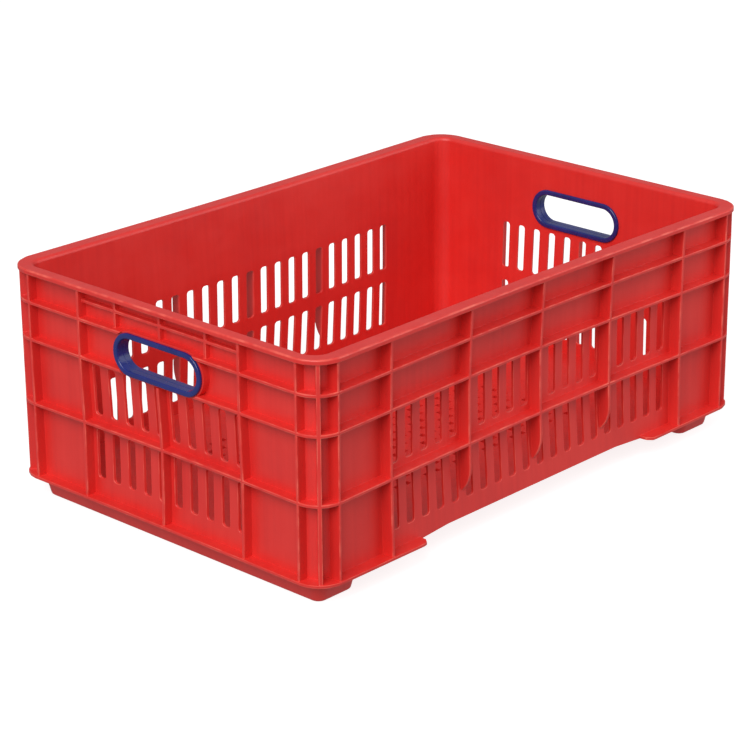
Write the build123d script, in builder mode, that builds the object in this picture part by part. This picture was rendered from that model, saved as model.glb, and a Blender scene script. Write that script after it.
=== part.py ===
# A stackable harvest crate: one red injection-moulded body, and in each end wall a blue hand grip
# made of two halves that snap together through the wall. Millimetres, +Z up, X along the crate,
# origin on the ground under the middle of the crate.
import math
import os
from build123d import *

# Overall size and the rim
length = 600.0              # over the rim
width = 400.0               # over the rim
height = 230.0              # ground to the top of the rim
rim_corner_radius = 29.0    # outer corner of the rim, seen from above
rim_thickness = 4.5         # height of the rim's lip
rim_edge_round = 1.5        # outer top edge of the rim
rim_inner_round = 4.0       # soft lead-in from the rim to the inside
lip_overhang = 2.0          # how far the lip stands out beyond the ribs

# Walls and their ribs
wall = 2.5                  # skin of the four walls
inner_corner_radius = 14.0  # inside corner of the walls, seen from above
rib = 3.2                   # thickness of a wall rib
apex_rib = 4.0              # thickness of the diagonal rib on each corner
rib_corner_radius = 25.0    # outer corner of the ribs that run round the crate
end_rib_depth = 9.7         # ribs stand this far out of an end wall
side_rib_depth = 12.0       # ribs stand this far out of a long wall
upper_rib_drop = 32.7       # rim top to the middle of the first rib round the crate
middle_rib_drop = 68.9      # rim top to the second
lower_rib_height = 75.4     # underside of the bottom flange to the third
corner_rib_setback = 27.3   # rim's end to the corner rib on a long wall
end_corner_rib_setback = 29.4
end_bay_half = 102.8        # middle of an end wall to the rib beside its slots
rib_fade_height = 26.0      # the three middle ribs of a long wall run out over this height
rib_fade_end = 28.0         # and end this far above the bottom flange

# Slots in the walls
slot_pitch = 20.0           # along a long wall
end_slot_pitch = 20.4       # along an end wall
slots_per_bay = 5
slot_width = 9.8
slot_corner_radius = 3.1
slot_rib_gap = 7.2          # slot end to the middle of the rib next to it
slot_base_gap = 20.0        # lower slots to the underside of the bottom flange
outer_rib_gap = 6.2         # what the outer bay of a long wall is longer than the inner one

# Bottom flange, floor and stacking plinths
plinth_height = 22.0        # ground to the underside of the bottom flange
flange_thickness = 3.0
flange_setback = 0.7        # flange inside the rim's outline
flange_reach = 141.0        # from the rim's end, along a long wall
flange_end_round = 9.0
arch_rise = 2.7             # the long walls' bottom edge is higher between the flanges
arch_ramp = 38.0
floor_thickness = 3.0
floor_end_border = 126.8    # unbroken floor from an end wall to the lattice
floor_side_border = 75.5    # and from a long wall
lattice_pitch = 13.8
lattice_bar = 7.8
plinth_setback = 12.7       # rim's end to the plinth's outer face, at the floor
plinth_side_setback = 15.2  # rim's side to the plinth's end face, at the floor
plinth_length = 58.1        # along X, at the floor
plinth_wall = 5.0           # at the ground
plinth_draft = 15.0         # degrees
plinth_corner_radius = 15.0
plinth_edge_round = 2.0
pocket_corner_radius = 3.0
plinth_webs = 5             # cross webs inside a plinth
plinth_web = 3.0

# Hand grips
grip_drop = 50.6            # rim top to the middle of the grip
grip_length = 102.0         # clear opening
grip_height = 30.5
grip_flange = 5.2           # width of the flange round the opening
grip_outer_thickness = 3.0
grip_inner_thickness = 2.5
grip_wall = 2.2             # barrel
grip_round = 1.5            # rounded front edges of the flanges
grip_hole_clearance = 0.3   # barrel in its hole, all round
grip_lap = 5.0              # length of the spigot inside the barrel
grip_lap_clearance = 0.1
grip_end_gap = 0.3          # barrel's end to the inner flange
snap_bead = 0.35            # height of the bead on the spigot
snap_bead_width = 1.2
snap_bead_setback = 1.0     # spigot's end to the bead
collar_margin = 1.6         # collar round the grip's flange
collar_setback = 2.3        # collar's face behind the ribs' faces
short_rib_depth = 5.3       # small ribs above a grip
short_rib_drop = 15.8
short_rib_pitch = 58.0

# Outlines and levels that follow from these
rib_length = length - 2 * lip_overhang
rib_width = width - 2 * lip_overhang
skin_length = rib_length - 2 * end_rib_depth
skin_width = rib_width - 2 * side_rib_depth
inner_length = skin_length - 2 * wall
inner_width = skin_width - 2 * wall
flange_length = length - 2 * flange_setback
flange_width = width - 2 * flange_setback
flange_corner_radius = rib_corner_radius + lip_overhang - flange_setback
flange_end = length / 2 - flange_reach
lip_bottom = height - rim_thickness
upper_rib_z = height - upper_rib_drop
middle_rib_z = height - middle_rib_drop
lower_rib_z = plinth_height + lower_rib_height
floor_bottom = plinth_height + flange_thickness
rib_levels = [upper_rib_z, middle_rib_z, lower_rib_z]
slot_floor_z = plinth_height + slot_base_gap
bay = slots_per_bay * slot_pitch
outer_rib_x = 2 * bay + outer_rib_gap
corner_rib_x = length / 2 - corner_rib_setback
side_rib_stations = [-corner_rib_x, -outer_rib_x, -bay, 0, bay, outer_rib_x, corner_rib_x]
end_corner_rib_y = width / 2 - end_corner_rib_setback
end_rib_stations = [-end_corner_rib_y, -end_bay_half, end_bay_half, end_corner_rib_y]
apex_x = length / 2 - rim_corner_radius
apex_y = width / 2 - rim_corner_radius
skin_y = skin_width / 2
rib_y = rib_width / 2
fade_bottom = plinth_height + rib_fade_end
fade_top = fade_bottom + rib_fade_height
short_rib_reach = skin_length + 2 * short_rib_depth
grip_z = height - grip_drop
grip_hole_length = grip_length + 2 * (grip_wall + grip_hole_clearance)
grip_hole_height = grip_height + 2 * (grip_wall + grip_hole_clearance)
grip_flange_length = grip_length + 2 * grip_flange
grip_flange_height = grip_height + 2 * grip_flange
collar_length = grip_flange_length + 2 * collar_margin
collar_height = grip_flange_height + 2 * collar_margin
collar_face = rib_length / 2 - collar_setback
collar_bottom = grip_z - collar_height / 2
plinth_x = length / 2 - plinth_setback - plinth_length / 2
plinth_width = width - 2 * plinth_side_setback
plinth_slope = floor_bottom * math.tan(math.radians(plinth_draft))
pocket_length = plinth_length - 2 * plinth_slope - 2 * plinth_wall
pocket_pitch = (plinth_width - 2 * plinth_slope - 2 * plinth_wall + plinth_web) / (plinth_webs + 1)
lattice_length = inner_length - 2 * floor_end_border
lattice_width = inner_width - 2 * floor_side_border
lattice_columns = round(lattice_length / lattice_pitch)
lattice_rows = round(lattice_width / lattice_pitch)
wall_face = inner_length / 2
both_ends = [Plane.YZ, Plane((0, 0, 0), x_dir=(0, -1, 0), z_dir=(-1, 0, 0))]
barrel_end = wall_face + grip_end_gap
barrel_length = grip_length + 2 * grip_wall
barrel_height = grip_height + 2 * grip_wall
spigot_wall = (grip_wall - grip_lap_clearance) / 2
spigot_length = grip_length + 2 * spigot_wall
spigot_height = grip_height + 2 * spigot_wall
lap_length = spigot_length + 2 * grip_lap_clearance
lap_height = spigot_height + 2 * grip_lap_clearance
bead_start = wall_face + grip_lap - snap_bead_setback - snap_bead_width
bead_length = spigot_length + 2 * snap_bead
bead_height = spigot_height + 2 * snap_bead
groove_width = snap_bead_width + 2 * grip_lap_clearance
groove_length = lap_length + 2 * snap_bead
groove_height = lap_height + 2 * snap_bead


def clear_inside():
    RectangleRounded(inner_length, inner_width, inner_corner_radius, mode=Mode.SUBTRACT)


def obround(long_way, high_way, *planes):
    with BuildSketch(*planes) as outline:
        with Locations((0, grip_z)):
            SlotOverall(long_way, high_way)
    return outline.sketch


def upright_slots(pitch, count):
    for below, above in ((slot_floor_z, lower_rib_z - slot_rib_gap),
                         (lower_rib_z + slot_rib_gap, middle_rib_z - slot_rib_gap)):
        corner = min(slot_corner_radius, 0.45 * slot_width, 0.45 * (above - below))
        with Locations((0, (below + above) / 2)):
            with GridLocations(pitch, 0, count, 1):
                RectangleRounded(slot_width, above - below, corner)


os.makedirs("parts", exist_ok=True)

# Crate body: walls, rim, ribs, slots, floor lattice, bottom flange and plinths in one moulding
with BuildPart() as crate_body:
    # The four walls and the rim, with its edges rounded while they are still whole
    with BuildSketch(Plane.XY.offset(plinth_height)):
        RectangleRounded(skin_length, skin_width, inner_corner_radius + wall)
        clear_inside()
    extrude(amount=height - plinth_height)
    with BuildSketch(Plane.XY.offset(lip_bottom)):
        RectangleRounded(length, width, rim_corner_radius)
        clear_inside()
    extrude(amount=rim_thickness)
    rim_top = crate_body.faces().sort_by(Axis.Z)[-1]
    fillet(rim_top.outer_wire().edges(), rim_edge_round)
    rim_top = crate_body.faces().sort_by(Axis.Z)[-1]
    fillet(rim_top.inner_wires()[0].edges(), rim_inner_round)

    # Plinths under both ends: tapered boxes, open below, with cross webs
    with BuildSketch(Plane.XY.offset(floor_bottom)):
        with GridLocations(2 * plinth_x, 0, 2, 1):
            RectangleRounded(plinth_length, plinth_width, plinth_corner_radius)
    extrude(amount=-floor_bottom, taper=plinth_draft)
    for foot in crate_body.faces().sort_by(Axis.Z)[:2]:
        fillet(foot.outer_wire().edges(), plinth_edge_round)
    with BuildSketch():
        with GridLocations(2 * plinth_x, pocket_pitch, 2, plinth_webs + 1):
            RectangleRounded(pocket_length, pocket_pitch - plinth_web, pocket_corner_radius)
    extrude(amount=floor_bottom, mode=Mode.SUBTRACT)

    # Bottom flange round each end, with rounded tips along the long walls
    with BuildSketch(Plane.XY.offset(plinth_height)) as flange:
        RectangleRounded(flange_length, flange_width, flange_corner_radius)
        Rectangle(2 * flange_end, flange_width, mode=Mode.SUBTRACT)
        tips = flange.vertices().filter_by(lambda corner: abs(corner.X) < flange_end + rib)
        fillet(tips, flange_end_round)
        clear_inside()
    extrude(amount=flange_thickness)

    # Three ribs run round the crate
    with BuildSketch(*[Plane.XY.offset(level - rib / 2) for level in rib_levels]):
        RectangleRounded(rib_length, rib_width, rib_corner_radius)
        clear_inside()
    extrude(amount=rib)

    # Upright ribs on all four walls, and a diagonal one on each corner
    with BuildSketch(Plane.XY.offset(plinth_height)):
        with Locations(*[(x, 0) for x in side_rib_stations]):
            Rectangle(rib, width)
        with Locations(*[(0, y) for y in end_rib_stations]):
            Rectangle(length, rib)
        for across in (-1, 1):
            with Locations((apex_x, across * apex_y), (-apex_x, -across * apex_y)):
                Rectangle(3 * rim_corner_radius, apex_rib, rotation=45 * across)
        RectangleRounded(rib_length, rib_width, rib_corner_radius, mode=Mode.INTERSECT)
        clear_inside()
    extrude(amount=lip_bottom - plinth_height)

    # The three middle ribs of each long wall curve back into it above the bottom edge
    with BuildSketch(Plane.YZ):
        with BuildLine():
            run_out = TangentArc((rib_y, fade_top), (skin_y, fade_bottom), tangent=(0, -1))
            Polyline(run_out @ 1, (skin_y, plinth_height), (width, plinth_height),
                     (width, fade_top), run_out @ 0)
        make_face()
        mirror(about=Plane.YZ)
    extrude(amount=bay + rib, both=True, mode=Mode.SUBTRACT, clean=False)

    # The bottom edge of the long walls is raised between the flanges
    with BuildSketch(Plane.XZ):
        with BuildLine():
            arch_top = plinth_height + arch_rise
            arch_half = flange_end - arch_ramp
            Polyline((-flange_end, plinth_height), (flange_end, plinth_height),
                     (arch_half, arch_top), (-arch_half, arch_top), close=True)
        make_face()
    extrude(amount=width, both=True, mode=Mode.SUBTRACT, clean=False)

    # Middle rib of each end wall, from the collar down
    with BuildSketch(Plane.XY.offset(plinth_height)):
        Rectangle(rib_length, rib)
        clear_inside()
    extrude(amount=collar_bottom - plinth_height, clean=False)

    # Small ribs between the rim and each grip
    with BuildSketch(Plane.XY.offset(height - short_rib_drop - rib / 2)):
        Rectangle(short_rib_reach, 2 * end_bay_half)
        clear_inside()
    extrude(amount=rib)
    with BuildSketch(Plane.XY.offset(upper_rib_z)):
        with GridLocations(0, short_rib_pitch, 1, 3):
            Rectangle(short_rib_reach, rib)
        clear_inside()
    extrude(amount=lip_bottom - upper_rib_z, clean=False)

    # A collar carries each grip: ribs stop at its outline, and the grip's hole goes through it
    collars = obround(collar_length, collar_height, *[plane.offset(wall_face) for plane in both_ends])
    extrude(collars, amount=collar_face - wall_face, clean=False)
    seats = obround(collar_length, collar_height, *[plane.offset(collar_face) for plane in both_ends])
    extrude(seats, amount=collar_setback, mode=Mode.SUBTRACT, clean=False)
    hole = obround(grip_hole_length, grip_hole_height, Plane.YZ)
    extrude(hole, amount=length, both=True, mode=Mode.SUBTRACT)

    # Two rows of upright slots through the long walls, then through the end walls
    with BuildSketch(Plane.XZ):
        upright_slots(slot_pitch, 4 * slots_per_bay)
    extrude(amount=width, both=True, mode=Mode.SUBTRACT, clean=False)
    with BuildSketch(Plane.YZ):
        upright_slots(end_slot_pitch, 2 * slots_per_bay)
    extrude(amount=length, both=True, mode=Mode.SUBTRACT, clean=False)

    # Floor: an unbroken border round a lattice of crossing bars
    with BuildSketch(Plane.XY.offset(floor_bottom)):
        RectangleRounded(inner_length + wall, inner_width + wall, inner_corner_radius + wall / 2)
        Rectangle(lattice_length, lattice_width, mode=Mode.SUBTRACT)
        with GridLocations(lattice_length / lattice_columns, 0, lattice_columns - 1, 1):
            Rectangle(lattice_bar, lattice_width + lattice_bar)
        with GridLocations(0, lattice_width / lattice_rows, 1, lattice_rows - 1):
            Rectangle(lattice_length + lattice_bar, lattice_bar)
    extrude(amount=floor_thickness, clean=False)
crate_body.part.label = "crate_body"
export_step(crate_body.part, "parts/crate_body.step")

# Outer half of a grip: a rounded flange on the collar, and a barrel through the wall
with BuildPart() as rear_grip_outer:
    on_collar = Plane.YZ.offset(collar_face)
    at_barrel_end = Plane.YZ.offset(barrel_end)
    in_groove = Plane.YZ.offset(bead_start - grip_lap_clearance)
    extrude(obround(grip_flange_length, grip_flange_height, on_collar), amount=grip_outer_thickness)
    extrude(obround(barrel_length, barrel_height, on_collar), amount=barrel_end - collar_face)
    extrude(obround(grip_length, grip_height, at_barrel_end), amount=length, mode=Mode.SUBTRACT)
    extrude(obround(lap_length, lap_height, at_barrel_end), amount=grip_lap, mode=Mode.SUBTRACT)
    extrude(obround(groove_length, groove_height, in_groove), amount=groove_width, mode=Mode.SUBTRACT)
    front_face = rear_grip_outer.faces().sort_by(Axis.X)[-1]
    fillet(front_face.edges(), grip_round)
rear_grip_outer.part.label = "rear_grip_outer"
export_step(rear_grip_outer.part, "parts/rear_grip_outer.step")

# Inner half: a flange on the inside of the wall, and a spigot that snaps into the barrel
with BuildPart() as rear_grip_inner:
    on_wall = Plane.YZ.offset(wall_face)
    on_spigot = Plane.YZ.offset(bead_start)
    extrude(obround(grip_flange_length, grip_flange_height, on_wall), amount=-grip_inner_thickness)
    extrude(obround(spigot_length, spigot_height, on_wall), amount=grip_lap)
    extrude(obround(bead_length, bead_height, on_spigot), amount=snap_bead_width)
    extrude(obround(grip_length, grip_height, Plane.YZ), amount=length, mode=Mode.SUBTRACT)
    front_face = rear_grip_inner.faces().sort_by(Axis.X)[0]
    fillet(front_face.edges(), grip_round)
rear_grip_inner.part.label = "rear_grip_inner"
export_step(rear_grip_inner.part, "parts/rear_grip_inner.step")

# The other end wall takes the same two halves, turned half round
with BuildPart() as front_grip_outer:
    add(rear_grip_outer.part, rotation=(0, 0, 180))
front_grip_outer.part.label = "front_grip_outer"
export_step(front_grip_outer.part, "parts/front_grip_outer.step")

with BuildPart() as front_grip_inner:
    add(rear_grip_inner.part, rotation=(0, 0, 180))
front_grip_inner.part.label = "front_grip_inner"
export_step(front_grip_inner.part, "parts/front_grip_inner.step")
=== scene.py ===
import math

import bmesh
import bpy
from mathutils import Matrix, Vector


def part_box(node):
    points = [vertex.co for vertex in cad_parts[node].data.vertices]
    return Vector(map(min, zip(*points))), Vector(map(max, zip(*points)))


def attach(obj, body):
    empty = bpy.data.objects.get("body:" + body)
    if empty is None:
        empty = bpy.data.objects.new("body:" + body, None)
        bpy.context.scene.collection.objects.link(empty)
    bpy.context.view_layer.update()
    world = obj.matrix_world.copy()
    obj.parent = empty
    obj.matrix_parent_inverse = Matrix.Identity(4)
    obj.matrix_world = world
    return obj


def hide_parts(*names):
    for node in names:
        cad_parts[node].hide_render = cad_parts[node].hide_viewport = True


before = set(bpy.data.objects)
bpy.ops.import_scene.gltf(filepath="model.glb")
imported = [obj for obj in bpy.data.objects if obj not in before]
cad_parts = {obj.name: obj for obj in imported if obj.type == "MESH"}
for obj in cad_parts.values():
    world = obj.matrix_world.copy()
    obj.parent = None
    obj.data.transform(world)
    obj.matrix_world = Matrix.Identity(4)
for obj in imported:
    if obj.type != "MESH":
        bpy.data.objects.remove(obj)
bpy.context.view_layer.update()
bpy.ops.object.select_all(action="DESELECT")

# Crate body. The real one is a single injection moulding in red polyethylene: four slotted and ribbed walls,
# a flat rim, a lattice floor and two hollow stacking plinths. Its edges are softly rounded, and its walls
# have bowed inwards a little on cooling, as such mouldings do.
mm = 0.001
body_low, body_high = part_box("crate_body")
rim_top = body_high.z
lip_bottom = rim_top - 4.5 * mm
foot = 22 * mm
flange_top = foot + 3 * mm
floor_bottom = 26 * mm
floor_top = 28 * mm
wall = 2.5 * mm
rib = 3.2 * mm
corner_rib = 2.5 * mm
apex_rib = 4 * mm

# Outlines seen from above, each a half length, a half width and a corner radius
rim_outline = (body_high.x, body_high.y, 29 * mm)
rib_outline = (body_high.x - 2 * mm, body_high.y - 2 * mm, 25 * mm)
flange_outline = tuple(size + 1.3 * mm for size in rib_outline)
short_rib_outline = tuple(size - 4.4 * mm for size in rib_outline)
skin_outline = (rib_outline[0] - 9.7 * mm, rib_outline[1] - 12 * mm, 16.5 * mm)
inner_outline = tuple(size - wall for size in skin_outline)
skin_x, skin_y, skin_round = skin_outline
bend_x = skin_x - skin_round
bend_y = skin_y - skin_round
rib_bend_x = rib_outline[0] - rib_outline[2]
rib_bend_y = rib_outline[1] - rib_outline[2]

# Places of the ribs and slots along the walls, each side of the middle
ring_levels = [97.4 * mm, 161.1 * mm, 197.3 * mm]
fading_ribs = [0.0, 100 * mm]
side_ribs = fading_ribs + [206.2 * mm, bend_x + corner_rib / 2]
end_bay = 102.8 * mm
end_ribs = [end_bay, bend_y + corner_rib / 2]
short_ribs = [0.0, 58 * mm]
short_rib_level = 214.2 * mm
slot_rows = [(42 * mm, 90.2 * mm), (104.6 * mm, 153.9 * mm)]
slot_half = 4.9 * mm
slot_corner = 3.1 * mm
slot_corner_steps = 4
bend_steps = 7
end_slot_draft = 0.75 * mm
side_slots = [(place - 9.5) * 20 * mm for place in range(20)]
end_slots = [(place - 4.5) * 20.4 * mm for place in range(10)]
fade_bottom = 50 * mm
fade_top = 76 * mm
fade_steps = 5
flange_end = 159 * mm
flange_end_round = 9 * mm
arch_rise = 2.7 * mm
arch_ramp = 38 * mm


def near(value, target, within=0.02 * mm):
    return abs(value - target) < within


def pick_faces(piece, test):
    bpy.ops.mesh.select_mode(type="FACE")
    bpy.ops.mesh.select_all(action="DESELECT")
    mesh = bmesh.from_edit_mesh(piece.data)
    for face in mesh.faces:
        if test(face.calc_center_median()):
            face.select_set(True)
    bmesh.update_edit_mesh(piece.data)


def pick_edges(piece, test):
    bpy.ops.mesh.select_mode(type="EDGE")
    bpy.ops.mesh.select_all(action="DESELECT")
    mesh = bmesh.from_edit_mesh(piece.data)
    for edge in mesh.edges:
        if test(edge.verts[0].co, edge.verts[1].co):
            edge.select_set(True)
    bmesh.update_edit_mesh(piece.data)


def cut(piece, place, normal, test):
    pick_faces(piece, test)
    bpy.ops.mesh.bisect(plane_co=place, plane_no=normal)


def on_outline(place, outline, within=0.4 * mm):
    reach_x, reach_y, corner = outline
    past_x = abs(place.x) - (reach_x - corner)
    past_y = abs(place.y) - (reach_y - corner)
    if past_x <= 0:
        return near(past_y, corner, within)
    if past_y <= 0:
        return near(past_x, corner, within)
    return near(math.hypot(past_x, past_y), corner, within)


def on_long_wall(middle):
    return near(abs(middle.y), skin_y)


def on_end_wall(middle):
    return near(abs(middle.x), skin_x)


# The four walls as one sheet, scored where ribs, slots and the rim will be
bpy.ops.mesh.primitive_cube_add(size=1, location=(0, 0, (rim_top + foot) / 2),
                                scale=(2 * skin_x, 2 * skin_y, rim_top - foot))
crate = bpy.context.object
crate.name = "crate_shell"
bpy.ops.object.transform_apply(location=True, rotation=True, scale=True)
bpy.ops.object.mode_set(mode="EDIT")
pick_edges(crate, lambda a, b: near(a.x, b.x) and near(a.y, b.y))
bpy.ops.mesh.bevel(offset=skin_round, segments=bend_steps)
pick_faces(crate, lambda middle: near(middle.z, rim_top) or near(middle.z, foot))
bpy.ops.mesh.delete(type="FACE")

levels = [flange_top, lip_bottom, short_rib_level - rib / 2, short_rib_level + rib / 2]
levels += [end for row in slot_rows for end in row]
levels += [level + half * rib / 2 for level in ring_levels for half in (-1, 1)]
for level in levels:
    cut(crate, (0, 0, level), (0, 0, 1), lambda middle: True)

columns = [slot + half * slot_half for slot in side_slots for half in (-1, 1)]
upright_places = [end * station for station in side_ribs[:3] for end in (-1, 1)]
columns += [place + half * rib / 2 for place in upright_places for half in (-1, 1)]
columns += [end * place for place in (flange_end, flange_end - arch_ramp) for end in (-1, 1)]
for column in sorted(set(columns)):
    cut(crate, (column, 0, 0), (1, 0, 0), on_long_wall)
for slot in end_slots:
    for half in (-1, 1):
        cut(crate, (0, slot + half * slot_half, 0), (0, 1, 0),
            lambda middle: on_end_wall(middle) and middle.z < ring_levels[1])
for station in (-end_bay, 0, end_bay):
    for half in (-1, 1):
        cut(crate, (0, station + half * rib / 2, 0), (0, 1, 0), on_end_wall)
for end in (-1, 1):
    for half in (-1, 1):
        cut(crate, (0, end * short_ribs[1] + half * rib / 2, 0), (0, 1, 0),
            lambda middle: on_end_wall(middle) and middle.z > ring_levels[2])

# The bends take a rib close to each wall and a thick diagonal one
for along in (-1, 1):
    for across in (-1, 1):
        def on_bend(middle):
            return middle.x * along > bend_x and middle.y * across > bend_y

        cut(crate, (along * (bend_x + corner_rib), 0, 0), (1, 0, 0),
            lambda middle: on_bend(middle) and abs(middle.y) > skin_y - 1 * mm)
        cut(crate, (0, across * (bend_y + corner_rib), 0), (0, 1, 0),
            lambda middle: on_bend(middle) and abs(middle.x) > skin_x - 1 * mm)
        square_to_rib = Vector((along, -across, 0)).normalized()
        for half in (-1, 1):
            aside = half * apex_rib / 2 * square_to_rib
            cut(crate, Vector((along * rib_bend_x, across * rib_bend_y, 0)) + aside, square_to_rib, on_bend)


def in_slot(middle):
    if not any(low < middle.z < high for low, high in slot_rows):
        return False
    if on_long_wall(middle):
        return any(near(middle.x, slot, slot_half) for slot in side_slots)
    return on_end_wall(middle) and any(near(middle.y, slot, slot_half) for slot in end_slots)


# Slots, the walls' thickness, the draft of the end walls' slots, and round corners to all slots
pick_faces(crate, in_slot)
bpy.ops.mesh.delete(type="FACE")
bpy.ops.object.mode_set(mode="OBJECT")
thickness = crate.modifiers.new("thickness", "SOLIDIFY")
thickness.thickness = wall
thickness.offset = -1
thickness.use_even_offset = True
bpy.ops.object.modifier_apply(modifier=thickness.name)
bpy.ops.object.mode_set(mode="EDIT")
mesh = bmesh.from_edit_mesh(crate.data)
for vertex in mesh.verts:
    x, y, z = vertex.co
    if near(abs(x), inner_outline[0]) and any(near(z, level) for row in slot_rows for level in row):
        aside = min((y - slot for slot in end_slots), key=abs)
        if near(abs(aside), slot_half):
            vertex.co.y -= math.copysign(end_slot_draft, aside)
bmesh.update_edit_mesh(crate.data)
pick_edges(crate, lambda a, b: on_outline(a, skin_outline) != on_outline(b, skin_outline)
           and slot_rows[0][0] - mm < a.z < slot_rows[1][1] + mm)
bpy.ops.mesh.bevel(offset=slot_corner, segments=slot_corner_steps, clamp_overlap=False)

# The rounding has also pushed the score lines away from the slots' corners, too close to the ribs. They are
# brought back here
score_end = slot_half + 2.3 * mm
mesh = bmesh.from_edit_mesh(crate.data)
for vertex in mesh.verts:
    on_side = abs(vertex.co.y) > inner_outline[1] - 0.1 * mm
    along = 0 if on_side else 1
    aside = min((vertex.co[along] - slot for slot in (side_slots if on_side else end_slots)), key=abs)
    at_slot_end = any(near(vertex.co.z, level) for row in slot_rows for level in row)
    if at_slot_end and near(abs(aside), slot_half + slot_corner):
        vertex.co[along] -= aside - math.copysign(score_end, aside)
bmesh.update_edit_mesh(crate.data)


def on_fading_rib(middle):
    return any(near(abs(middle.x), station, rib / 2) for station in fading_ribs)


def on_flange(middle):
    return middle.z < flange_top and (abs(middle.y) < bend_y or abs(middle.x) > flange_end)


def on_upright_rib(middle):
    if abs(middle.x) > bend_x and abs(middle.y) > bend_y:
        off_diagonal = (abs(middle.x) - rib_bend_x - abs(middle.y) + rib_bend_y) / math.sqrt(2)
        if near(off_diagonal, 0, apex_rib / 2):
            return True
    if abs(middle.y) > skin_y - 1 * mm:
        if on_fading_rib(middle):
            return middle.z > fade_bottom
        return any(near(abs(middle.x), station, rib / 2) for station in side_ribs)
    if abs(middle.x) > skin_x - 1 * mm:
        if near(middle.y, 0, rib / 2):
            return middle.z < ring_levels[1]
        return any(near(abs(middle.y), station, rib / 2) for station in end_ribs)
    return False


def on_rib(middle):
    on_ring = any(near(middle.z, level, rib / 2) for level in ring_levels)
    return on_ring or middle.z > lip_bottom or on_flange(middle) or on_upright_rib(middle)


def on_short_rib(middle):
    if abs(middle.x) < skin_x - 1 * mm or abs(middle.y) > end_bay or middle.z < ring_levels[2]:
        return False
    on_upright = any(near(abs(middle.y), station, rib / 2) for station in short_ribs)
    return on_upright or near(middle.z, short_rib_level, rib / 2)


# Round a bend, the ribs' sides run straight out of the skin. These pairs of angles, on the skin and on the
# outlines further out, keep them straight: the end of the long wall, the rib beside it, the diagonal rib and
# the end wall
rib_turn = math.asin(corner_rib / skin_round)
turns = [(0, 0), (rib_turn, math.asin((bend_x + corner_rib - rib_bend_x) / rib_outline[2]))]
diagonal = Vector((1, 1)).normalized()
for half in (-1, 1):
    aside = half * apex_rib / 2
    start = Vector((rib_bend_x - bend_x, rib_bend_y - bend_y)) + aside * Vector((1, -1)).normalized()
    inward = start.dot(diagonal)
    meeting = start + diagonal * (math.sqrt(skin_round ** 2 - start.length_squared + inward ** 2) - inward)
    turns.append((math.atan2(meeting.x, meeting.y), math.pi / 4 + math.asin(aside / rib_outline[2])))
last_turn = math.acos((bend_y + corner_rib - rib_bend_y) / rib_outline[2])
turns += [(math.pi / 2 - rib_turn, last_turn), (math.pi / 2, last_turn)]


def turn_further_out(turn):
    for (from_low, to_low), (from_high, to_high) in zip(turns, turns[1:]):
        if turn <= from_high:
            return to_low + (to_high - to_low) * (turn - from_low) / (from_high - from_low)
    return turns[-1][1]


def move_to_outline(place, start, outline):
    reach_x, reach_y, corner = outline
    x = abs(place.x)
    y = abs(place.y)
    past_x = x - (start[0] - start[2])
    past_y = y - (start[1] - start[2])
    if past_x < 0.01 * mm:
        y = reach_y
    elif past_y < 0.01 * mm:
        x = reach_x
    else:
        turn = math.atan2(past_x, past_y)
        if start is skin_outline:
            turn = turn_further_out(turn)
        x = reach_x - corner + corner * math.sin(turn)
        y = reach_y - corner + corner * math.cos(turn)
    place.x = math.copysign(x, place.x)
    place.y = math.copysign(y, place.y)


def raise_faces(piece, test, start, outline):
    pick_faces(piece, lambda middle: on_outline(middle, start) and test(middle))
    bpy.ops.mesh.extrude_region_move(TRANSFORM_OT_translate={"value": (0, 0, 0)})
    mesh = bmesh.from_edit_mesh(piece.data)
    for vertex in [vertex for vertex in mesh.verts if vertex.select]:
        move_to_outline(vertex.co, start, outline)
    bmesh.update_edit_mesh(piece.data)


# Ribs, bottom flange and rim, extruded outwards step by step so that they grow out of each other
for step in range(fade_steps + 1):
    level = fade_bottom + (fade_top - fade_bottom) * (step / fade_steps) ** 1.5
    cut(crate, (0, 0, level), (0, 0, 1), lambda middle: on_long_wall(middle) and on_fading_rib(middle))
raise_faces(crate, lambda middle: on_rib(middle) or on_short_rib(middle), skin_outline, short_rib_outline)
raise_faces(crate, on_rib, short_rib_outline, rib_outline)
raise_faces(crate, on_flange, rib_outline, flange_outline)
raise_faces(crate, lambda middle: middle.z > lip_bottom, rib_outline, rim_outline)

# The middle ribs of the long walls curve back into the wall, the flange has rounded tips, and the long walls'
# bottom edge is raised between the flanges
fade_depth = rib_outline[1] - skin_y
fade_radius = (fade_depth ** 2 + (fade_top - fade_bottom) ** 2) / (2 * fade_depth)
tip_start = flange_outline[1] - flange_end_round
tip_zone = side_slots[18] + slot_half - flange_end
mesh = bmesh.from_edit_mesh(crate.data)
for vertex in mesh.verts:
    x = abs(vertex.co.x)
    y = abs(vertex.co.y)
    near_fade = any(near(x, station, rib / 2 + 0.1 * mm) for station in fading_ribs)
    if y > skin_y and near_fade and fade_bottom - mm < vertex.co.z < fade_top:
        curve = rib_outline[1] - fade_radius + math.sqrt(fade_radius ** 2 - (fade_top - vertex.co.z) ** 2)
        vertex.co.y = math.copysign(max(skin_y, min(y, curve)), vertex.co.y)
    if vertex.co.z > flange_top + 0.1 * mm or y < inner_outline[1] - mm:
        continue
    if y > skin_y - 0.1 * mm or vertex.co.z < flange_top - 0.1 * mm:
        vertex.co.z += arch_rise * min(1, max(0, (flange_end - x) / arch_ramp))
    if y > tip_start and flange_end - 0.1 * mm < x < flange_end + tip_zone:
        inset = flange_end_round - math.sqrt(max(0, flange_end_round ** 2 - (y - tip_start) ** 2))
        vertex.co.x += math.copysign(inset * (flange_end + tip_zone - x) / tip_zone, vertex.co.x)
bmesh.update_edit_mesh(crate.data)
bpy.ops.mesh.select_all(action="SELECT")
bpy.ops.mesh.remove_doubles(threshold=0.02 * mm)


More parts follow.
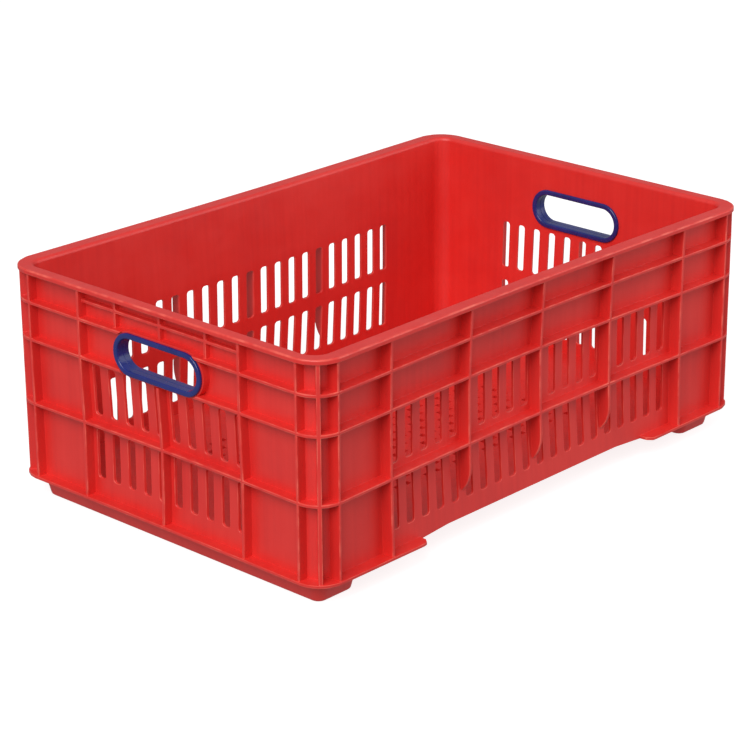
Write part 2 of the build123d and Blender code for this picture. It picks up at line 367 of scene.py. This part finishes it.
def pick_loop(piece, level, outline):
    pick_edges(piece, lambda a, b: near(a.z, level) and near(b.z, level)
               and on_outline(a, outline, 0.2 * mm) and on_outline(b, outline, 0.2 * mm))


# The rim's top is one broad face, well rounded on the inside. From here on, a second material marks the faces
# of softened edges, so that they can be found again once the body is whole
rim_inner_round = 4 * mm
rim_edge_round = 1.5 * mm
face_marks = [bpy.data.materials.new(mark) for mark in ("flat face", "softened face")]
for mark in face_marks:
    crate.data.materials.append(mark)
softened_faces = 1
for outline in (skin_outline, short_rib_outline, rib_outline):
    pick_loop(crate, rim_top, outline)
    bpy.ops.mesh.dissolve_edges(use_verts=True)
for level in (lip_bottom, short_rib_level + rib / 2, short_rib_level - rib / 2):
    pick_loop(crate, level, inner_outline)
    bpy.ops.mesh.dissolve_edges(use_verts=True)
pick_loop(crate, rim_top, inner_outline)
bpy.ops.mesh.bevel(offset=rim_inner_round, segments=5, clamp_overlap=False)
pick_loop(crate, rim_top, rim_outline)
bpy.ops.mesh.bevel(offset=rim_edge_round, segments=3, clamp_overlap=False, material=softened_faces)

# The inner faces open where the floor will join them. Then all sharp edges are softened, less so at the rib
# roots, at the slots and on ledges that are too narrow for more
for level in (floor_bottom, floor_top):
    cut(crate, (0, 0, level), (0, 0, 1), lambda middle: on_outline(middle, inner_outline))
pick_faces(crate, lambda middle: on_outline(middle, inner_outline) and floor_bottom < middle.z < floor_top)
bpy.ops.mesh.delete(type="FACE")
bpy.ops.object.mode_set(mode="OBJECT")
sharp_angle = math.radians(35)
edge_softness = 0.9 * mm
lesser_share = 0.45
narrow_ledges = (lip_bottom, flange_top)


def on_wall_face(place):
    return on_outline(place, skin_outline, 0.1 * mm) or on_outline(place, inner_outline, 0.1 * mm)


mesh = bmesh.new()
mesh.from_mesh(crate.data)
softness = mesh.edges.layers.float.new("bevel_weight_edge")
for edge in mesh.edges:
    if len(edge.link_faces) != 2 or edge.calc_face_angle() < sharp_angle:
        continue
    at_root = edge.calc_face_angle_signed() < 0
    on_narrow_ledge = any(all(near(end.co.z, level) for end in edge.verts) for level in narrow_ledges)
    round_slot = all(on_wall_face(end.co) for end in edge.verts)
    edge[softness] = lesser_share if at_root or on_narrow_ledge or round_slot else 1.0
mesh.to_mesh(crate.data)
mesh.free()
softening = crate.modifiers.new("softening", "BEVEL")
softening.material = softened_faces
softening.width = edge_softness
softening.segments = 2
softening.limit_method = "WEIGHT"
softening.use_clamp_overlap = False
bpy.ops.object.modifier_apply(modifier=softening.name)

# Floor lattice between the plinths: a grid of square holes with bars deeper than the plain floor round them
lattice_x = flange_end
lattice_y = 108 * mm
lattice_columns = 23
lattice_rows = 16
lattice_bar = 7.8 * mm
lattice_depth = 5 * mm
bpy.ops.mesh.primitive_grid_add(x_subdivisions=lattice_columns, y_subdivisions=lattice_rows,
                                size=2, location=(0, 0, floor_top))
lattice = bpy.context.object
lattice.scale = (lattice_x, lattice_y, 1)
bpy.ops.object.transform_apply(location=True, rotation=True, scale=True)
bpy.ops.object.mode_set(mode="EDIT")
bpy.ops.mesh.select_mode(type="FACE")
bpy.ops.mesh.select_all(action="SELECT")
bpy.ops.mesh.inset(thickness=lattice_bar / 2, use_individual=True)
bpy.ops.mesh.delete(type="FACE")
bpy.ops.mesh.select_all(action="SELECT")
bpy.ops.mesh.extrude_region_move(TRANSFORM_OT_translate={"value": (0, 0, -lattice_depth)})


def on_lattice_edge(middle):
    return near(abs(middle.x), lattice_x) or near(abs(middle.y), lattice_y)


cut(lattice, (0, 0, floor_bottom), (0, 0, 1), on_lattice_edge)
pick_faces(lattice, lambda middle: on_lattice_edge(middle) and middle.z > floor_bottom)
bpy.ops.mesh.delete(type="FACE")
bpy.ops.object.mode_set(mode="OBJECT")

# The floor joins the walls: the plain border between them is filled above and below
bpy.ops.object.select_all(action="DESELECT")
lattice.select_set(True)
crate.select_set(True)
bpy.context.view_layer.objects.active = crate
bpy.ops.object.join()
bpy.ops.object.mode_set(mode="EDIT")
for level in (floor_bottom, floor_top):
    bpy.ops.mesh.select_mode(type="EDGE")
    bpy.ops.mesh.select_all(action="DESELECT")
    bpy.ops.mesh.select_non_manifold()
    mesh = bmesh.from_edit_mesh(crate.data)
    for edge in mesh.edges:
        if not all(near(vertex.co.z, level) for vertex in edge.verts):
            edge.select_set(False)
    bmesh.update_edit_mesh(crate.data)
    bpy.ops.mesh.fill(use_beauty=True)
bpy.ops.mesh.select_all(action="SELECT")
bpy.ops.mesh.normals_make_consistent(inside=False)
bpy.ops.object.mode_set(mode="OBJECT")


def combine_at_both_ends(piece, tool, operation):
    bpy.ops.object.mode_set(mode="OBJECT")
    for turn in (0, math.pi):
        tool.rotation_euler.z = turn
        bpy.context.view_layer.objects.active = piece
        step = piece.modifiers.new("combining", "BOOLEAN")
        step.object = tool
        step.operation = operation
        step.solver = "EXACT"
        bpy.ops.object.modifier_apply(modifier=step.name)
    bpy.data.objects.remove(tool)


# Stacking plinths: tapered boxes under both ends, open below, with cross webs
plinth_middle = 258.25 * mm
plinth_top = floor_bottom + 1 * mm
plinth_taper = math.tan(math.radians(15))
foot_outline = (22.35 * mm, 178.1 * mm, 8.3 * mm)
plinth_outline = tuple(size + plinth_top * plinth_taper for size in foot_outline)
plinth_wall = 5 * mm
plinth_web = 3 * mm
plinth_edge_round = 2 * mm
pocket_depth = floor_bottom - 1 * mm
pocket_round = 1.2 * mm
pocket_x = foot_outline[0] - plinth_wall
pocket_count = 6
pocket_pitch = (2 * (foot_outline[1] - plinth_wall) + plinth_web) / pocket_count
pocket_half = (pocket_pitch - plinth_web) / 2
pocket_places = [(place - (pocket_count - 1) / 2) * pocket_pitch for place in range(pocket_count)]
bpy.ops.object.select_all(action="DESELECT")
bpy.ops.mesh.primitive_cube_add(size=2, location=(0, 0, plinth_top / 2),
                                scale=(plinth_outline[0], plinth_outline[1], plinth_top / 2))
plinth = bpy.context.object
bpy.ops.object.transform_apply(location=True, rotation=True, scale=True)
bpy.ops.object.mode_set(mode="EDIT")
pick_edges(plinth, lambda a, b: near(a.x, b.x) and near(a.y, b.y))
bpy.ops.mesh.bevel(offset=plinth_outline[2], segments=6)
mesh = bmesh.from_edit_mesh(plinth.data)
for vertex in mesh.verts:
    if near(vertex.co.z, 0):
        move_to_outline(vertex.co, plinth_outline, foot_outline)
bmesh.update_edit_mesh(plinth.data)
pick_edges(plinth, lambda a, b: near(a.z, 0) and near(b.z, 0))
bpy.ops.mesh.bevel(offset=plinth_edge_round, segments=3, clamp_overlap=False)


def under_pockets(middle):
    return near(middle.z, 0) and near(middle.x, 0, pocket_x)


for half in (-1, 1):
    cut(plinth, (half * pocket_x, 0, 0), (1, 0, 0), lambda middle: near(middle.z, 0))
for place in pocket_places:
    for half in (-1, 1):
        cut(plinth, (0, place + half * pocket_half, 0), (0, 1, 0), under_pockets)
pick_faces(plinth, lambda middle: under_pockets(middle)
           and any(near(middle.y, place, pocket_half) for place in pocket_places))
bpy.ops.mesh.extrude_region_move(TRANSFORM_OT_translate={"value": (0, 0, pocket_depth)})
pick_edges(plinth, lambda a, b: near(a.x, b.x) and near(a.y, b.y) and near(abs(a.x), pocket_x))
bpy.ops.mesh.bevel(offset=pocket_round, segments=3)
bpy.ops.mesh.select_all(action="SELECT")
bpy.ops.mesh.normals_make_consistent(inside=False)
bpy.ops.transform.translate(value=(plinth_middle, 0, 0))
combine_at_both_ends(crate, plinth, "UNION")

# Collars round the hand holes: the ribs stop at them, and the grips go through
grip_middle = 179.4 * mm
grip_straight = 35.75 * mm
grip_opening = 15.25 * mm
grip_barrel = grip_opening + 2.2 * mm
grip_flange = grip_opening + 5.2 * mm
collar_radius = grip_flange + 1.6 * mm
collar_face = rib_outline[0] - 2.3 * mm
collar_edge_round = 0.6 * mm
collar_root = 1.5 * mm
rib_overlap = 0.3 * mm
hole_play = 0.3 * mm
obround_sides = 64


def obround_bar(radius, x_from, x_to):
    middle = ((x_from + x_to) / 2, 0, grip_middle)
    bpy.ops.object.select_all(action="DESELECT")
    bpy.ops.mesh.primitive_cylinder_add(vertices=obround_sides, radius=radius, depth=x_to - x_from,
                                        location=middle, rotation=(0, math.pi / 2, 0))
    bar = bpy.context.object
    bpy.ops.object.transform_apply(location=True, rotation=True, scale=True)
    bpy.ops.object.mode_set(mode="EDIT")
    bpy.ops.transform.rotate(value=math.pi / obround_sides, orient_axis="X", center_override=middle)
    for end in (-1, 1):
        pick_edges(bar, lambda a, b: a.y * end > 0 and b.y * end > 0)
        bpy.ops.transform.translate(value=(0, end * grip_straight, 0))
    return bar


clearing = obround_bar(collar_radius - rib_overlap, skin_x + 0.5 * mm, rim_outline[0])
combine_at_both_ends(crate, clearing, "DIFFERENCE")
collar = obround_bar(collar_radius, skin_x - collar_root, collar_face)
pick_edges(collar, lambda a, b: near(a.x, collar_face) and near(b.x, collar_face))
bpy.ops.mesh.bevel(offset=collar_edge_round, segments=2)
combine_at_both_ends(crate, collar, "UNION")
hole = obround_bar(grip_barrel + hole_play, inner_outline[0] - 5 * mm, rim_outline[0])
combine_at_both_ends(crate, hole, "DIFFERENCE")

# The walls' bow: on a long wall most at mid height and less at the rim, on an end wall only below the collar,
# and none at the corners
bow_at_rim = 3.7 * mm
bow_between = 5.3 * mm
end_bow = 3 * mm
end_bow_top = 155 * mm
bow_reach = 0.95
bow_easing = 1.5
smooth_angle = math.radians(40)


def bow_share(place, reach, start, wall_place):
    along = max(0.0, 1.0 - (place / (bow_reach * reach)) ** 2) ** bow_easing
    return along * min(1.0, max(0.0, (abs(wall_place) - start) / (skin_round - wall)))


for vertex in crate.data.vertices:
    x, y, z = vertex.co
    if z < foot - 0.1 * mm:
        continue
    rise = max(0.0, (z - foot) / (rim_top - foot))
    side_depth = bow_at_rim * rise + bow_between * math.sin(math.pi * rise)
    end_depth = end_bow * max(0.0, math.sin(math.pi * min(1.0, z / end_bow_top)))
    vertex.co.y -= math.copysign(side_depth * bow_share(x, rim_outline[0], bend_y, y), y)
    vertex.co.x -= math.copysign(end_depth * bow_share(y, rim_outline[1], bend_x, x), x)
bpy.ops.object.select_all(action="DESELECT")
crate.select_set(True)
bpy.ops.object.shade_smooth_by_angle(angle=smooth_angle)
evening = crate.modifiers.new("evening", "WEIGHTED_NORMAL")
evening.keep_sharp = True
bpy.ops.object.modifier_apply(modifier=evening.name)

# The softened outer edges are remembered: the crate is scuffed there, and a highlight is painted on them
mesh = bmesh.new()
mesh.from_mesh(crate.data)
scuffed_and_highlit_faces = set()
for face in mesh.faces:
    bend = sum(edge.calc_face_angle_signed(0) for edge in face.edges)
    if face.material_index == softened_faces and bend > 0:
        scuffed_and_highlit_faces.add(face.index)
mesh.free()
# Face attribute for the pale edges: partly scuffs, partly a painted highlight on the rounded edges
scuffed_and_highlit = crate.data.attributes.new("scuffed_and_highlit_edge", "FLOAT", "FACE")
for face in crate.data.polygons:
    scuffed_and_highlit.data[face.index].value = 1.0 if face.index in scuffed_and_highlit_faces else 0.0
    face.material_index = 0


def add_node(material, kind, **values):
    node = material.node_tree.nodes.new("ShaderNode" + kind)
    for name, value in values.items():
        setattr(node, name, value)
    return node


def noise(material, scale, detail=2.0, stretch=(1, 1, 1)):
    links = material.node_tree.links
    place = add_node(material, "TexCoord")
    pattern = add_node(material, "TexNoise")
    pattern.inputs["Scale"].default_value = scale
    pattern.inputs["Detail"].default_value = detail
    if stretch == (1, 1, 1):
        links.new(place.outputs["Object"], pattern.inputs["Vector"])
    else:
        mapping = add_node(material, "Mapping")
        mapping.inputs["Scale"].default_value = stretch
        links.new(place.outputs["Object"], mapping.inputs["Vector"])
        links.new(mapping.outputs["Vector"], pattern.inputs["Vector"])
    return pattern.outputs["Fac"]


def rescale(material, source, low, high, to_low, to_high):
    span = add_node(material, "MapRange")
    span.inputs["From Min"].default_value = low
    span.inputs["From Max"].default_value = high
    span.inputs["To Min"].default_value = to_low
    span.inputs["To Max"].default_value = to_high
    material.node_tree.links.new(source, span.inputs["Value"])
    return span.outputs["Result"]


def combine(material, operation, first, second):
    step = add_node(material, "Math", operation=operation)
    material.node_tree.links.new(first, step.inputs[0])
    material.node_tree.links.new(second, step.inputs[1])
    return step.outputs["Value"]


def colour_ramp(material, source, stops):
    ramp = add_node(material, "ValToRGB")
    ends = ramp.color_ramp.elements
    while len(ends) < len(stops):
        ends.new(0.5)
    for stop, (position, colour) in zip(ends, stops):
        stop.position = position
        stop.color = (*colour, 1)
    material.node_tree.links.new(source, ramp.inputs["Fac"])
    return ramp.outputs["Color"]


def bump(material, source, strength, distance, below=None):
    node = add_node(material, "Bump")
    node.inputs["Strength"].default_value = strength
    node.inputs["Distance"].default_value = distance
    material.node_tree.links.new(source, node.inputs["Height"])
    if below is not None:
        material.node_tree.links.new(below, node.inputs["Normal"])
    return node.outputs["Normal"]


# Red polyethylene: satin, with faint flow clouds and upright streaks from the moulding, a fine grain, and
# pale scuffs mixed with a painted edge highlight on the softened outer edges
red_tones = [(0.15, (0.67, 0.021, 0.018)), (0.5, (0.72, 0.025, 0.020)), (0.9, (0.755, 0.031, 0.024))]
# Pale edge colour: partly scuffs, partly a painted highlight where light would catch the rounded edges
scuff_and_highlight_colour = (0.92, 0.17, 0.12, 1)
scuff_and_highlight_strength = 0.65
red = bpy.data.materials.new("red polyethylene")
red.use_nodes = True
red_shader = red.node_tree.nodes["Principled BSDF"]
red_shader.inputs["Specular IOR Level"].default_value = 0.65
clouds = noise(red, 14, 4)
streaks = noise(red, 1, 3, (190, 190, 5))
flow = combine(red, "ADD", rescale(red, clouds, 0.3, 0.7, 0, 0.6), rescale(red, streaks, 0.3, 0.7, 0, 0.4))
moulded = colour_ramp(red, flow, red_tones)
patches = rescale(red, noise(red, 60, 6), 0.42, 0.66, 0.1, 1)
# Mask of the convex softened edges, which get both scuffs and a painted highlight
edge = add_node(red, "Attribute", attribute_name="scuffed_and_highlit_edge")
scuffs_and_highlights = combine(red, "MULTIPLY", edge.outputs["Fac"], patches)
wear_and_highlight = add_node(red, "MixRGB")
wear_and_highlight.inputs["Color2"].default_value = scuff_and_highlight_colour
red.node_tree.links.new(rescale(red, scuffs_and_highlights, 0, 1, 0, scuff_and_highlight_strength), wear_and_highlight.inputs["Fac"])
red.node_tree.links.new(moulded, wear_and_highlight.inputs["Color1"])
red.node_tree.links.new(wear_and_highlight.outputs["Color"], red_shader.inputs["Base Color"])
satin = rescale(red, noise(red, 35, 5), 0.3, 0.7, 0.36, 0.5)
red.node_tree.links.new(satin, red_shader.inputs["Roughness"])
waves = bump(red, noise(red, 30, 2), 0.5, 0.0012)
grain = bump(red, noise(red, 900, 3), 0.25, 0.0003, waves)
red.node_tree.links.new(grain, red_shader.inputs["Normal"])
crate.data.materials.clear()
for mark in face_marks:
    bpy.data.materials.remove(mark)
crate.data.materials.append(red)
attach(crate, "root")
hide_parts("crate_body")

# Hand grips. Each is two glossy blue mouldings that snap together through the end wall: an outer half whose
# barrel lines the hole, and an inner half whose spigot goes into it. Both have a flange with a rounded front.
grip_lap = grip_opening + 1.05 * mm
wall_face = inner_outline[0]
flange_round = 1.5 * mm
seat_round = 0.5 * mm
spigot_round = 0.3 * mm
spigot_play = 0.1 * mm
turn_steps = 24


def pick_vertices(piece, test):
    bpy.ops.mesh.select_mode(type="VERT")
    bpy.ops.mesh.select_all(action="DESELECT")
    mesh = bmesh.from_edit_mesh(piece.data)
    for vertex in mesh.verts:
        vertex.select_set(test(vertex.co))
    bmesh.update_edit_mesh(piece.data)


def section_plate(name, x_from, x_to, radius_from, radius_to):
    middle = ((x_from + x_to) / 2, grip_straight, grip_middle + (radius_from + radius_to) / 2)
    bpy.ops.object.select_all(action="DESELECT")
    bpy.ops.mesh.primitive_plane_add(size=1, rotation=(math.pi / 2, 0, 0), location=middle)
    plate = bpy.context.object
    plate.name = name
    plate.scale = (x_to - x_from, radius_to - radius_from, 1)
    bpy.ops.object.transform_apply(location=True, rotation=True, scale=True)
    bpy.ops.object.mode_set(mode="EDIT")
    return plate


def extend(piece, test, step_x, step_z):
    pick_edges(piece, lambda a, b: test(a) and test(b))
    bpy.ops.mesh.extrude_edges_move(TRANSFORM_OT_translate={"value": (step_x, 0, step_z)})


def round_corners(piece, size, test):
    pick_vertices(piece, test)
    bpy.ops.mesh.bevel(offset=size, segments=5, affect="VERTICES")


def sweep_round_opening(piece):
    bpy.ops.mesh.select_mode(type="EDGE")
    bpy.ops.mesh.select_all(action="SELECT")
    bpy.ops.mesh.delete(type="ONLY_FACE")
    bpy.ops.mesh.select_all(action="SELECT")
    for end in (1, -1):
        turn_middle = (0, end * grip_straight, grip_middle)
        bpy.ops.mesh.spin(steps=turn_steps, angle=math.pi, center=turn_middle, axis=(1, 0, 0))
        bpy.ops.mesh.extrude_edges_move(TRANSFORM_OT_translate={"value": (0, -end * 2 * grip_straight, 0)})
    bpy.ops.mesh.select_all(action="SELECT")
    bpy.ops.mesh.remove_doubles(threshold=0.01 * mm)
    bpy.ops.mesh.normals_make_consistent(inside=False)
    bpy.ops.object.mode_set(mode="OBJECT")
    bpy.ops.object.shade_smooth_by_angle(angle=smooth_angle)


# Blue polypropylene, glossier than the crate, with faint swirls and fine rubbing marks from hands
blue = bpy.data.materials.new("blue grip plastic")
blue.use_nodes = True
blue_shader = blue.node_tree.nodes["Principled BSDF"]
swirls = noise(blue, 45, 4)
dyed = colour_ramp(blue, swirls, [(0.3, (0.010, 0.017, 0.14)), (0.7, (0.016, 0.026, 0.19))])
blue.node_tree.links.new(dyed, blue_shader.inputs["Base Color"])
rubbed = rescale(blue, noise(blue, 90, 5), 0.35, 0.7, 0.2, 0.34)
blue.node_tree.links.new(rubbed, blue_shader.inputs["Roughness"])
rubbing = bump(blue, noise(blue, 1, 3, (300, 300, 2200)), 0.12, 0.0002)
blue.node_tree.links.new(rubbing, blue_shader.inputs["Normal"])


def dress_grip(piece, node):
    piece.data.materials.append(blue)
    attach(piece, "root")
    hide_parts(node)


def turned_copy(piece, name):
    twin = piece.copy()
    twin.data = piece.data.copy()
    twin.name = name
    twin.data.transform(Matrix.Rotation(math.pi, 4, "Z"))
    bpy.context.scene.collection.objects.link(twin)
    return twin


seat_z = grip_middle + grip_barrel
edge_z = grip_middle + grip_flange
lap_z = grip_middle + grip_lap
outer_front = collar_face + 3 * mm
lap_start = wall_face + 5.3 * mm
barrel_end = wall_face + 0.3 * mm
outer_half = section_plate("rear_grip_outer_half", lap_start, collar_face, grip_opening, grip_barrel)
bpy.ops.mesh.select_all(action="SELECT")
bpy.ops.mesh.bisect(plane_co=(0, 0, lap_z), plane_no=(0, 0, 1))
extend(outer_half, lambda co: near(co.x, collar_face), outer_front - collar_face, 0)
extend(outer_half, lambda co: near(co.z, seat_z) and co.x > collar_face - 0.1 * mm, 0, edge_z - seat_z)
extend(outer_half, lambda co: near(co.x, lap_start) and co.z > lap_z - 0.1 * mm, barrel_end - lap_start, 0)
bpy.ops.mesh.select_all(action="SELECT")
bpy.ops.mesh.dissolve_limited(angle_limit=math.radians(1))
round_corners(outer_half, flange_round, lambda co: near(co.x, outer_front))
round_corners(outer_half, seat_round, lambda co: near(co.x, collar_face) and near(co.z, edge_z))
sweep_round_opening(outer_half)

inner_front = wall_face - 2.5 * mm
spigot_end = wall_face + 5 * mm
inner_half = section_plate("rear_grip_inner_half", inner_front, wall_face, grip_opening, grip_flange)
bpy.ops.mesh.select_all(action="SELECT")
bpy.ops.mesh.bisect(plane_co=(0, 0, lap_z - spigot_play), plane_no=(0, 0, 1))
extend(inner_half, lambda co: near(co.x, wall_face) and co.z < lap_z, spigot_end - wall_face, 0)
bpy.ops.mesh.select_all(action="SELECT")
bpy.ops.mesh.dissolve_limited(angle_limit=math.radians(1))
round_corners(inner_half, flange_round, lambda co: near(co.x, inner_front))
round_corners(inner_half, spigot_round, lambda co: near(co.x, spigot_end))
sweep_round_opening(inner_half)

dress_grip(outer_half, "rear_grip_outer")
dress_grip(inner_half, "rear_grip_inner")
dress_grip(turned_copy(outer_half, "front_grip_outer_half"), "front_grip_outer")
dress_grip(turned_copy(inner_half, "front_grip_inner_half"), "front_grip_inner")

# Studio floor: white paper that glows by itself, so that the shadows on it stay pale, and that throws no
# light back at the crate
bpy.ops.mesh.primitive_plane_add(size=12, location=(0, 0, 0))
studio_floor = bpy.context.object
studio_floor.name = "studio_floor"
studio_floor.visible_diffuse = False
studio_floor.visible_glossy = False
paper = bpy.data.materials.new("white paper")
paper.use_nodes = True
paper_shader = paper.node_tree.nodes["Principled BSDF"]
paper_shader.inputs["Base Color"].default_value = (0.35, 0.35, 0.35, 1)
paper_shader.inputs["Roughness"].default_value = 0.9
paper_shader.inputs["Emission Color"].default_value = (1, 1, 1, 1)
paper_shader.inputs["Emission Strength"].default_value = 0.84
studio_floor.data.materials.append(paper)

# Light: a pale surround, a large strong softbox high at the front left and a small weak one at the front
# right, each given by its name, direction, distance, size and power
sky = bpy.data.worlds.new("studio")
bpy.context.scene.world = sky
sky.use_nodes = True
sky.node_tree.nodes["Background"].inputs["Color"].default_value = (1, 1, 1, 1)
sky.node_tree.nodes["Background"].inputs["Strength"].default_value = 0.36
main_softbox = ("main_softbox", (-0.72, -0.29, 0.68), 6.0, 4.0, 302)
fill_softbox = ("fill_softbox", (0.54, -0.71, 0.45), 2.3, 2.0, 16)
for name, direction, lamp_distance, size, energy in (main_softbox, fill_softbox):
    softbox = bpy.data.lights.new(name, "AREA")
    softbox.energy = energy
    softbox.size = size
    lamp = bpy.data.objects.new(name, softbox)
    towards = Vector(direction).normalized()
    lamp.matrix_world = (
        Matrix.Translation(towards * lamp_distance)
        @ towards.to_track_quat("Z", "Y").to_matrix().to_4x4()
    )
    bpy.context.scene.collection.objects.link(lamp)

# Camera, at the place, turn, tilt and roll that the photograph was solved for
camera_place = (-1.72905, -1.59836, 0.98449)
camera_turn = math.radians(-46.961)
camera_tilt = math.radians(90 - 20.892)
camera_roll = math.radians(-0.356)
camera_data = bpy.data.cameras.new("camera")
camera_data.lens = 125.32
camera_data.sensor_width = 36
camera = bpy.data.objects.new("camera", camera_data)
camera.matrix_world = (
    Matrix.Translation(camera_place)
    @ Matrix.Rotation(camera_turn, 4, "Z")
    @ Matrix.Rotation(camera_tilt, 4, "X")
    @ Matrix.Rotation(camera_roll, 4, "Z")
)
bpy.context.scene.collection.objects.link(camera)
bpy.context.scene.camera = camera
bpy.context.scene.view_settings.view_transform = "Standard"
